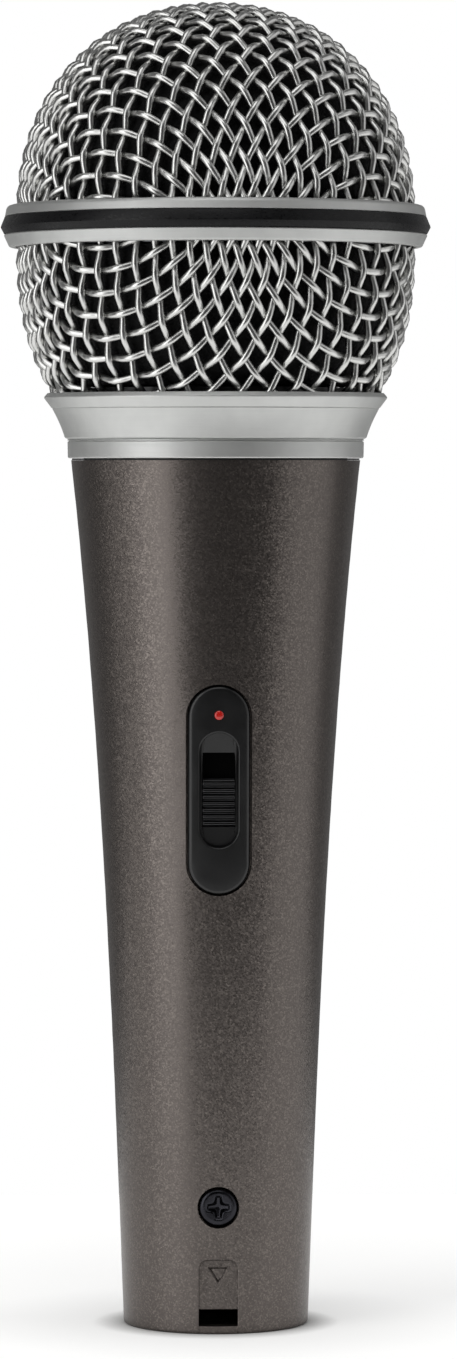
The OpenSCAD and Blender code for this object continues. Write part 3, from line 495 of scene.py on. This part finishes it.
def wire_runs(crossings, reach, first, last):
    """Runs of crossings along each wire whose angle from the pole lies from first to last, cut exactly there."""
    runs = []
    for weft in (False, True):
        for i in range(-reach, reach + 1):
            run, before = [], None
            for j in range(-reach, reach + 1):
                key = (j, i) if weft else (i, j)
                way = crossings[key]
                side = (1 if (i + j) % 2 == 0 else -1) * (-1 if weft else 1)
                here = (way, side)
                inside = first <= from_pole(way) <= last
                if before is not None and inside != (first <= from_pole(before[0]) <= last):
                    now, then = from_pole(way), from_pole(before[0])
                    limit = last if max(now, then) > last else first
                    share = (limit - then) / (now - then)
                    run.append((before[0].lerp(way, share).normalized(),
                                before[1] + (side - before[1]) * share))
                    if not inside:
                        runs.append(run)
                        run = []
                if inside:
                    run.append(here)
                before = here
            if len(run) > 1:
                runs.append(run)
    return [run for run in runs if len(run) > 1]


def wire_lines(name, outline, first, last, downward):
    """The wires' middle lines as a mesh of edges, with which side each point bends to and which way is out."""
    ball = BOWL_BALL_R * MM if downward else outline_length(outline) / (math.pi / 2)
    crossings, reach = mesh_crossings(PITCH * MM / ball)
    inset = (CRIMP + WIRE / 2) * MM
    places, edges, outs, sides = [], [], [], []
    for run in wire_runs(crossings, reach, first, last):
        for k, (way, side) in enumerate(run):
            radius, height, out_r, out_z = along_outline(outline, (math.pi / 2 - from_pole(way)) * ball)
            flat = Vector((way.x, way.y, 0))
            flat = flat.normalized() if flat.length > 1e-9 else Vector((1, 0, 0))
            out = flat * out_r + Vector((0, 0, out_z))
            places.append(flat * radius + Vector((0, 0, height)) - out * inset)
            outs.append(out)
            sides.append(side)
            if k:
                edges.append((len(places) - 2, len(places) - 1))
    mesh = bpy.data.meshes.new(name)
    mesh.from_pydata(places, edges, [])
    mesh.attributes.new("out", "FLOAT_VECTOR", "POINT").data.foreach_set("vector", [c for o in outs for c in o])
    mesh.attributes.new("side", "FLOAT", "POINT").data.foreach_set("value", sides)
    return placed(name, mesh)


def wire_tree():
    """Geometry nodes that press each wire to its side at every crossing and give it its round section."""
    tree = bpy.data.node_groups.new("woven_wire", "GeometryNodeTree")
    for name, kind in (("Lines", "Geometry"), ("Wire thickness", "Float"), ("Crimp depth", "Float"),
                       ("Steps per cell", "Int"), ("Section sides", "Int"), ("Finish", "Material")):
        tree.interface.new_socket(name, in_out="INPUT", socket_type="NodeSocket" + kind)
    tree.interface.new_socket("Wires", in_out="OUTPUT", socket_type="NodeSocketGeometry")
    given = add(tree, "NodeGroupInput").outputs
    out = add(tree, "GeometryNodeInputNamedAttribute", {"Name": "out"}, data_type="FLOAT_VECTOR")
    side = add(tree, "GeometryNodeInputNamedAttribute", {"Name": "side"}, data_type="FLOAT")
    press = add(tree, "ShaderNodeMath", {0: side.outputs["Attribute"], 1: given["Crimp depth"]}, operation="MULTIPLY")
    shift = add(tree, "ShaderNodeVectorMath", {0: out.outputs["Attribute"], "Scale": press.outputs[0]},
                operation="SCALE")
    crimped = add(tree, "GeometryNodeSetPosition", {"Geometry": given["Lines"], "Offset": shift.outputs[0]})
    lines = add(tree, "GeometryNodeMeshToCurve", {"Mesh": crimped.outputs[0]})
    smooth = add(tree, "GeometryNodeCurveSplineType", {"Curve": lines.outputs[0]}, spline_type="CATMULL_ROM")
    fine = add(tree, "GeometryNodeSetSplineResolution", {"Geometry": smooth.outputs[0],
                                                         "Resolution": given["Steps per cell"]})
    half = add(tree, "ShaderNodeMath", {0: given["Wire thickness"], 1: 0.5}, operation="MULTIPLY")
    section = add(tree, "GeometryNodeCurvePrimitiveCircle", {"Resolution": given["Section sides"],
                                                             "Radius": half.outputs[0]})
    tube = add(tree, "GeometryNodeCurveToMesh", {"Curve": fine.outputs[0], "Profile Curve": section.outputs[0],
                                                 "Fill Caps": True})
    shaded = add(tree, "GeometryNodeSetShadeSmooth", {"Geometry": tube.outputs[0], "Shade Smooth": True})
    real = add(tree, "GeometryNodeRealizeInstances", {"Geometry": shaded.outputs[0]})
    coated = add(tree, "GeometryNodeSetMaterial", {"Geometry": real.outputs[0], "Material": given["Finish"]})
    add(tree, "NodeGroupOutput", {"Wires": coated.outputs[0]})
    return tree


def grown(piece, tree, values):
    """Runs a node tree on a piece and keeps the plain mesh that comes out."""
    modifier = piece.modifiers.new(tree.name, "NODES")
    modifier.node_group = tree
    sockets = {item.name: item.identifier for item in tree.interface.items_tree if item.in_out == "INPUT"}
    for name, value in values.items():
        modifier[sockets[name]] = value
    bpy.context.view_layer.update()
    graph = bpy.context.evaluated_depsgraph_get()
    mesh = bpy.data.meshes.new_from_object(piece.evaluated_get(graph))
    piece.modifiers.remove(modifier)
    piece.data = mesh


def woven_shell(name, node, outline, first, last, downward, finish):
    """One half of the grille: crimped plain-weave wires over its outline, riding the head."""
    piece = wire_lines(name, outline, first, last, downward)
    grown(piece, wire_tree(), {"Wire thickness": WIRE * MM, "Crimp depth": CRIMP * MM, "Steps per cell": WIRE_STEPS,
                               "Section sides": WIRE_SIDES, "Finish": finish})
    finished(piece, "head", node)


# ---------------------------------------------------------------- soft pieces

def inset_outline(outline, inset, low, high):
    """Points inset from an outline, kept between two heights."""
    points = []
    for k in range(61):
        # starts 2 mm before the outline does, so that the lining covers the straight part too
        radius, height, out_r, out_z = along_outline(outline, outline_length(outline) * k / 60 - 2 * MM)
        point = (max(0.0, radius - out_r * inset), height - out_z * inset)
        if low <= point[1] <= high:
            points.append(point)
    return points


def foam_lining(finish):
    """The two foam linings that sit against the mesh."""
    low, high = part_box("foam_dome")
    front = inset_outline(dome_outline(), FOAM_GAP * MM, low.z, high.z)
    back = inset_outline(dome_outline(), (FOAM_GAP + FOAM_T) * MM, low.z, high.z)
    front[-1] = (0.0, front[-1][1])
    back[-1] = (0.0, back[-1][1])
    dome = turned_shape("foam_dome_lining", front + back[::-1], sides=160, lump=FOAM_LUMP)
    low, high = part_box("foam_sleeve")
    front = inset_outline(bowl_outline(), FOAM_GAP * MM, low.z - FOAM_TAIL * MM, high.z)
    back = inset_outline(bowl_outline(), (FOAM_GAP + FOAM_T) * MM, low.z, high.z)
    sleeve = turned_shape("foam_bowl_lining", front + back[::-1], sides=160, lump=FOAM_LUMP)
    for piece, node in ((dome, "foam_dome"), (sleeve, "foam_sleeve")):
        coated(piece, finish)
        finished(piece, "head", node)


def flexing_pieces(finishes):
    """The rubber mount and the two upper leads, which give between the handle and the floating capsule, copied as they
    stand at rest and attached to no body.
    """
    for node, slot in (("shock_mount", "soft_rubber"), ("lead_hot_upper", "red_lead"),
                       ("lead_cold_upper", "white_lead")):
        piece = merged_copy(node, node + "_flexing")
        coated(piece, finishes[slot])
        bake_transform(piece)
        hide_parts(node)


# ---------------------------------------------------------------- switch

def barrel_radius(height):
    """Outer radius of the handle at a height in millimetres."""
    share = height / HANDLE_H
    return END_R + (TOP_R - END_R - FLARE_R) * share + FLARE_R * share ** 3


def switch_point(across, up, depth, crowned=True):
    """A point of the switch in metres: up runs along the handle, and depth is below its surface or below the flat."""
    lean = math.atan(barrel_radius(PLATE_Z + 0.5) - barrel_radius(PLATE_Z - 0.5))
    radius = barrel_radius(PLATE_Z)
    if crowned:
        local = barrel_radius(PLATE_Z + up * math.cos(lean))
        fall = local - math.sqrt(local * local - across * across)
        curl = (local - radius) * math.cos(lean) - up * math.sin(lean)
        depth = depth + fall - curl
    return Vector((across, -radius + depth * math.cos(lean) - up * math.sin(lean),
                   PLATE_Z + depth * math.sin(lean) + up * math.cos(lean))) * MM


def long_round(width, height, square=False):
    """Points round a slot with round ends, or round a rectangle whose points match them."""
    points = []
    straight = (height - width) / 2
    for k in range(96):
        turn = 2 * math.pi * k / 96
        x, z = math.cos(turn), math.sin(turn)
        if square:
            big = max(abs(x), abs(z))
            points.append((x / big * width / 2, z / big * height / 2))
        else:
            end = math.copysign(straight, z if abs(z) > 1e-9 else 1)
            points.append((x * width / 2, z * width / 2 + end))
    return points


def switch_plate(finish):
    """The moulded plate: rounded outer edge, crowned face, and the dish and slot that the knob slides in."""
    loops = [[switch_point(x, z, PLATE_BACK, False) for x, z in long_round(PLATE_W, PLATE_H)]]
    for turn in (0, 15, 30, 45, 60, 75, 90):
        inset = PLATE_EDGE * (1 - math.cos(math.radians(turn)))
        depth = PLATE_EDGE * (1 - math.sin(math.radians(turn))) - PLATE_PROUD
        loops.append([switch_point(x, z, depth) for x, z in long_round(PLATE_W - 2 * inset, PLATE_H - 2 * inset)])
    # the crowned face, from inside the rounded edge to just outside the dish
    for share in (0.25, 0.5, 0.75):
        width = PLATE_W - 2 * PLATE_EDGE + (DISH_W + 0.2 - PLATE_W + 2 * PLATE_EDGE) * share
        height = PLATE_H - 2 * PLATE_EDGE + (DISH_H + 0.2 - PLATE_H + 2 * PLATE_EDGE) * share
        loops.append([switch_point(x, z, -PLATE_PROUD) for x, z in long_round(width, height)])
    # the eased rim of the dish, then its wall and its floor
    for out, below in ((0.5, 0.0), (0.4, 0.0), (0.16, 0.06), (0.0, 0.2)):
        loops.append([switch_point(x, z, -PLATE_PROUD + below) for x, z in long_round(DISH_W + out, DISH_H + out)])
    loops.append([switch_point(x, z, DISH_D - DISH_RISE * max(0.0, (z - SLOT_H / 2) / (DISH_H - SLOT_H) * 2), False)
                  for x, z in long_round(DISH_W, DISH_H)])
    loops.append([switch_point(x, z, DISH_D, False) for x, z in long_round(SLOT_W, SLOT_H, square=True)])
    loops.append([switch_point(x, z, PLATE_BACK, False) for x, z in long_round(SLOT_W, SLOT_H, square=True)])
    piece = skin("moulded_plate", loops, crease=40)
    coated(piece, finish)
    finished(piece, "handle", "switch_plate")


def red_dot(finish):
    """The ON dot: a low bead of red enamel in the plate."""
    rings = []
    for radius, depth in ((DOT_R, 0.5), (DOT_R, -0.02), (DOT_R * 0.92, -0.09), (DOT_R * 0.6, -0.17)):
        rings.append([switch_point(radius * math.cos(math.radians(turn)),
                                   DOT_UP + radius * math.sin(math.radians(turn)), depth - PLATE_PROUD)
                      for turn in range(0, 360, 12)])
    rings = [[switch_point(0, DOT_UP, 0.5)]] + rings + [[switch_point(0, DOT_UP, -0.2 - PLATE_PROUD)]]
    piece = skin("red_enamel_dot", rings, crease=60)
    coated(piece, finish)
    finished(piece, "handle", "on_dot")


def ribbed_knob(painted_shade_abs, edges):
    """The knob with its ribs, each edge a little rounded and glossier, and painted lighter as a painted highlight so
    that it shows a line of light; the rest of the knob is painted near-black and less reflective, as painted shade in
    its slot.
    """
    piece = merged_copy("switch_knob", "ribbed_knob")
    coated(piece, painted_shade_abs, edges)
    flat = bmesh.new()
    flat.from_mesh(piece.data)
    bmesh.ops.dissolve_limit(flat, angle_limit=math.radians(1), verts=flat.verts, edges=flat.edges)
    for face in flat.faces:
        face.smooth = False
    flat.to_mesh(piece.data)
    flat.free()
    rounding = piece.modifiers.new("rounding", "BEVEL")
    rounding.width, rounding.segments = KNOB_EDGE * MM, 2
    rounding.limit_method, rounding.angle_limit = "ANGLE", math.radians(30)
    rounding.material = 1           # the glossier finish, painted lighter: a painted highlight on the rounded edges
    finished(piece, "slider", "switch_knob")


# ---------------------------------------------------------------- lock screw, collar and belt

def screw_face(radius, x, z):
    """Depth of the screw's face in millimetres: crowned, rounded at the rim, with a cross recess that narrows."""
    soft, wall = 0.3, 0.34          # rounding where the arms meet, and width of the recess's sloping wall
    across = max(abs(x) - CROSS_LENGTH / 2, abs(z) - CROSS_WIDTH / 2)
    upright = max(abs(z) - CROSS_LENGTH / 2, abs(x) - CROSS_WIDTH / 2)
    arm = -soft * math.log(math.exp(-across / soft) + math.exp(-upright / soft))
    sunk = max(0.0, min(1.0, 0.5 - arm / wall))
    share, rim_from = radius / SCREW_R, 0.72
    rim = max(0.0, share - rim_from) / (1 - rim_from)
    crown = 0.05 + 0.1 * share ** 2 + 0.5 * rim ** 2
    flute = 0.12 * max(0.0, 1 - radius / 1.75)
    return crown + flute + sunk * CROSS_DEPTH * max(0.45, 1 - radius / 2.4)


def lock_screw(finish):
    """The pan-head screw that locks the connector."""
    front = barrel_radius(SCREW_Z)
    turns = [math.radians(turn) for turn in range(0, 360, 3)]
    rings = [[Vector((0, -front + 0.17 + CROSS_DEPTH, SCREW_Z)) * MM]]
    for step in range(1, 33):
        radius = SCREW_R * math.sin(math.pi / 2 * step / 32)
        ring = [(radius * math.cos(turn), radius * math.sin(turn)) for turn in turns]
        rings.append([Vector((x, -front + screw_face(radius, x, z), SCREW_Z + z)) * MM for x, z in ring])
    for radius, depth in ((SCREW_R, SCREW_DEPTH), (SHANK_R, SCREW_DEPTH), (SHANK_R, front - SHANK_TIP_Y)):
        rings.append([Vector((radius * math.cos(turn), -front + depth, SCREW_Z + radius * math.sin(turn))) * MM
                      for turn in turns])
    rings.append([Vector((0, -SHANK_TIP_Y, SCREW_Z)) * MM])
    piece = skin("pan_head_screw", rings, crease=50)
    coated(piece, finish)
    finished(piece, "handle", "xlr_screw")


def turned_part(name, outline, finish, node):
    """A turned part of the head from radius and height in millimetres."""
    piece = turned_shape(name, [(radius * MM, height * MM) for radius, height in outline], sides=TURNED_SIDES,
                         crease=TURNED_CREASE)
    coated(piece, finish)
    finished(piece, "head", node)


def turned_collar(finish):
    """The turned collar: a plain band, a double groove, a hollow flare, a fine line and a bevelled lip."""
    band = TOP_R + 0.45
    outline = [(COLLAR_BORE_R, COLLAR_Z)]
    # the eased foot, the plain band and the double groove
    outline += [(band + out, COLLAR_Z + up) for out, up in (
        (-0.22, 0.0), (-0.12, 0.04), (-0.04, 0.16), (0.0, 2.0), (-0.03, 2.06), (-0.16, 2.11),
        (-0.16, 2.17), (0.02, 2.22), (0.02, 2.3), (-0.1, 2.36), (0.2, 2.47))]
    # the hollow flare
    for step in range(1, 24):
        up = 3.45 * step / 23
        outline.append((TOP_R + 0.75 + 0.3 * up + 0.035 * up * up, COLLAR_Z + 2.45 + up))
    # the fine line, then the lip with its bevel
    outline += [(TOP_R + out, BOWL_LIP - down) for out, down in (
        (2.29, 2.02), (2.34, 1.95), (2.3, 1.9), (2.46, 1.82))]
    outline += [(COLLAR_LIP_R - inset, BOWL_LIP - down) for inset, down in (
        (0.05, 0.7), (0.0, 0.6), (0.0, 0.5), (0.06, 0.4))]
    outline += [(BOWL_LIP_R + 0.3, BOWL_LIP), (BOWL_LIP_R + 0.1, BOWL_LIP)]
    # the cup that the bowl stands in, down to its seat
    for step in range(1, 9):
        down = (BOWL_LIP - COLLAR_SEAT_Z) * step / 8
        outline.append((BOWL_LIP_R + 0.1 - 0.585 * down - 0.024 * down * down, BOWL_LIP - down))
    outline.append((COLLAR_BORE_R, COLLAR_SEAT_Z))
    turned_part("turned_collar", outline, finish, "collar")


def belt_rings(nickel, enamel):
    """The belt round the middle of the head: two nickel rings with eased edges and the black band between them."""
    lower = [(BELT_BORE_R, BELT_Z)] + [(BELT_R + out, BELT_Z + up) for out, up in (
        (-0.75, 0.0), (-0.56, 0.06), (-0.43, 0.2), (-0.36, 0.36), (0.13, 1.42), (0.11, 1.49), (-0.02, 1.6))]
    lower.append((BELT_BORE_R, BELT_Z + 1.6))
    upper = [(BELT_BORE_R, BELT_TOP_Z - 1.35)] + [(BELT_R + out, BELT_TOP_Z - down) for out, down in (
        (-0.04, 1.35), (0.02, 1.29), (-0.02, 1.2), (-0.15, 0.5), (-0.25, 0.28), (-0.45, 0.09), (-0.75, 0.0))]
    upper.append((BELT_BORE_R, BELT_TOP_Z))
    band = [(BELT_BORE_R, BELT_Z + 1.62), (BELT_R + 0.04, BELT_Z + 1.62), (BELT_R + 0.14, BELT_Z + 1.68),
            (RIDGE_R - 0.03, RIDGE_Z - 0.12), (RIDGE_R, RIDGE_Z - 0.03), (RIDGE_R - 0.02, RIDGE_Z + 0.07),
            (BELT_R + 0.05, BELT_TOP_Z - 1.45), (BELT_R - 0.04, BELT_TOP_Z - 1.38), (BELT_BORE_R, BELT_TOP_Z - 1.38)]
    turned_part("belt_ring_below", lower, nickel, "belt_lower_ring")
    turned_part("belt_ring_above", upper, nickel, "belt_upper_ring")
    turned_part("belt_black_band", band, enamel, "belt_band")


# ---------------------------------------------------------------- studio

def softbox(name, bearing, height, distance, width, tall, radiance):
    """A rectangular softbox aimed at the middle of the microphone, in metres; bearing is from the switch side towards
    the camera's right, in degrees."""
    lamp = bpy.data.lights.new(name, "AREA")
    lamp.shape, lamp.size, lamp.size_y = "RECTANGLE", width, tall
    lamp.energy = radiance * math.pi * width * tall
    light = placed(name, lamp)
    turn = math.radians(bearing)
    light.location = Vector((math.sin(turn) * distance, -math.cos(turn) * distance, height))
    light.rotation_euler = (Vector((0, 0, 0.08)) - light.location).to_track_quat("-Z", "Y").to_euler()
    light.visible_camera = False


def studio():
    """Soft light from both sides and above, on a pale floor with a painted glow and a painted shadow round the end,
    that runs into a pale background.
    """
    softbox("left_softbox", bearing=-54, height=0.0, distance=1.2, width=0.8, tall=2.4, radiance=2.0)
    softbox("right_softbox", bearing=80, height=0.35, distance=1.2, width=1.35, tall=1.7, radiance=0.64)
    softbox("top_softbox", bearing=-12, height=1.25, distance=0.55, width=1.0, tall=1.0, radiance=1.5)
    world = bpy.data.worlds.new("studio")
    bpy.context.scene.world = world
    world.use_nodes = True
    tree = world.node_tree
    tree.nodes.clear()
    # the camera sees white paper behind; the metal mirrors a dim room that is lighter at its far end
    way = add(tree, "ShaderNodeTexCoord")
    parts = add(tree, "ShaderNodeSeparateXYZ", {0: way.outputs["Generated"]})
    rear = between(tree, parts.outputs["Y"], -0.1, 0.9, 0.04, 0.22)
    room = add(tree, "ShaderNodeBackground", {"Color": linear("ffffff"), "Strength": rear})
    paper = add(tree, "ShaderNodeBackground", {"Color": linear("ffffff"), "Strength": 1.0})
    ray = add(tree, "ShaderNodeLightPath")
    seen = add(tree, "ShaderNodeMixShader", {0: ray.outputs["Is Camera Ray"], 1: room.outputs[0],
                                             2: paper.outputs[0]})
    add(tree, "ShaderNodeOutputWorld", {"Surface": seen.outputs[0]})
    # a wide, shallow table: a deeper one would show in the turned parts that face down
    side, front, back = 0.8, -0.18, 0.13
    mesh = bpy.data.meshes.new("floor")
    mesh.from_pydata([(-side, front, 0), (side, front, 0), (side, back, 0), (-side, back, 0)], [], [(0, 1, 2, 3)])
    floor = placed("floor", mesh)
    # the table glows though it is no lamp, a painted glow: none inside the socket, quickly brighter round the end,
    # which leaves a painted shadow there, then slowly to its edges
    paint, tree, shader, place = start_finish("pale_floor", Roughness=0.7, Emission_Color=linear("ffffff"))
    shader.inputs["Base Color"].default_value = linear("f2f2f0")
    reach = add(tree, "ShaderNodeVectorMath", {0: place}, operation="LENGTH").outputs["Value"]
    # the dark ring where this ramp starts is painted shadow round the end
    near = between(tree, reach, 11.2, 15.5, 0.0, 0.5)
    far = between(tree, reach, 15.5, 33.0, 0.0, 0.13)
    edge = between(tree, reach, 33.0, 110.0, 0.0, 0.07)
    both = add(tree, "ShaderNodeMath", {0: near, 1: far})
    painted_glow = add(tree, "ShaderNodeMath", {0: both.outputs[0], 1: edge})
    tree.links.new(painted_glow.outputs[0], shader.inputs["Emission Strength"])
    floor.data.materials.append(paint)


def camera():
    """A long lens at eye height with the top of the handle, looking slightly down from a little left of the switch."""
    distance, eye, middle, aside = 0.75, 107.8 * MM, 80.6 * MM, 1.6 * MM
    lens = bpy.data.cameras.new("studio_camera")
    lens.lens = 159.0
    lens.sensor_width = 36.0
    lens.clip_end = 50.0
    view = placed("studio_camera", lens)
    bearing = math.radians(-1.7)
    right = Vector((math.cos(bearing), math.sin(bearing), 0))
    target = Vector((0, 0, middle)) + right * aside
    view.location = Vector((math.sin(bearing) * distance, -math.cos(bearing) * distance, eye)) + right * aside
    view.rotation_euler = (target - view.location).to_track_quat("-Z", "Y").to_euler()
    bpy.context.scene.camera = view
    bpy.context.scene.view_settings.view_transform = "Standard"


# ---------------------------------------------------------------- putting it together

def all_finishes():
    """One finish for each material slot in the record."""
    return {
        "gunmetal_paint": metallic_lacquer(),
        "satin_nickel": turned_nickel(),
        "wire": drawn_wire(),
        "plated_steel": plated_metal("zinc_plated_steel", "8f9296", "b4b7ba", 0.32),
        "silver_plate": plated_metal("silver_plated_brass", "bdb9af", "d9d5cb", 0.22),
        "magnet_nickel": plated_metal("nickel_plated_magnet", "9d9a94", "b9b6b0", 0.2),
        "black_screw": plated_metal("blackened_steel", "222225", "404045", 0.24),
        "bronze": plated_metal("phosphor_bronze", "a9764a", "c48e5c", 0.3),
        "brass": plated_metal("brass", "b3924d", "cfae66", 0.3),
        "copper": plated_metal("enamelled_copper_wire", "8f4524", "b3623a", 0.3, 0.1),
        "black_plastic": moulded_plastic("black_abs", "060607", "0e0e0f", 0.33),
        "white_plastic": moulded_plastic("white_acetal", "d8d6d0", "e6e4de", 0.4),
        "phenolic": moulded_plastic("phenolic_board", "5a3620", "74482c", 0.5, 0.4),
        "red_dot": red_enamel(),
        "red_lead": moulded_plastic("red_pvc", "8e1512", "b0201b", 0.42, 0.3),
        "white_lead": moulded_plastic("white_pvc", "cfcdc6", "e2e0da", 0.42, 0.3),
        "black_lead": moulded_plastic("black_pvc", "0d0d0e", "1b1b1c", 0.42, 0.3),
        "black_rubber": scuffed_band(),
        "soft_rubber": rubber(),
        "foam": open_cell_foam(),
        "cloth": woven_cloth(),
        "clear_film": clear_film(),
    }


camera()
studio()
finishes = all_finishes()
for node in nodes.values():
    for slot in node.material_slots:
        slot.material = finishes[slot.material.name.split(".")[0]]
woven_shell("woven_dome", "upper_grille", dome_outline(), 0.0, math.pi / 2 + DOME_PAST, False, finishes["wire"])
woven_shell("woven_bowl", "lower_grille", bowl_outline(), BOWL_FIRST, math.pi / 2 + BOWL_PAST, True, finishes["wire"])
foam_lining(finishes["foam"])
switch_plate(finishes["black_plastic"])
red_dot(finishes["red_dot"])
# the knob's body is painted near-black and less reflective as painted shade; its rounded edges are painted lighter as
# painted highlights
ribbed_knob(moulded_plastic("painted_shade_black_abs", "030303", "060606", 0.8, ior=1.12),
            moulded_plastic("glossy_painted_highlight_abs", "38383a", "48484a", 0.22))
lock_screw(finishes["black_screw"])
turned_collar(finishes["satin_nickel"])
belt_rings(finishes["satin_nickel"], finishes["black_rubber"])
flexing_pieces(finishes)
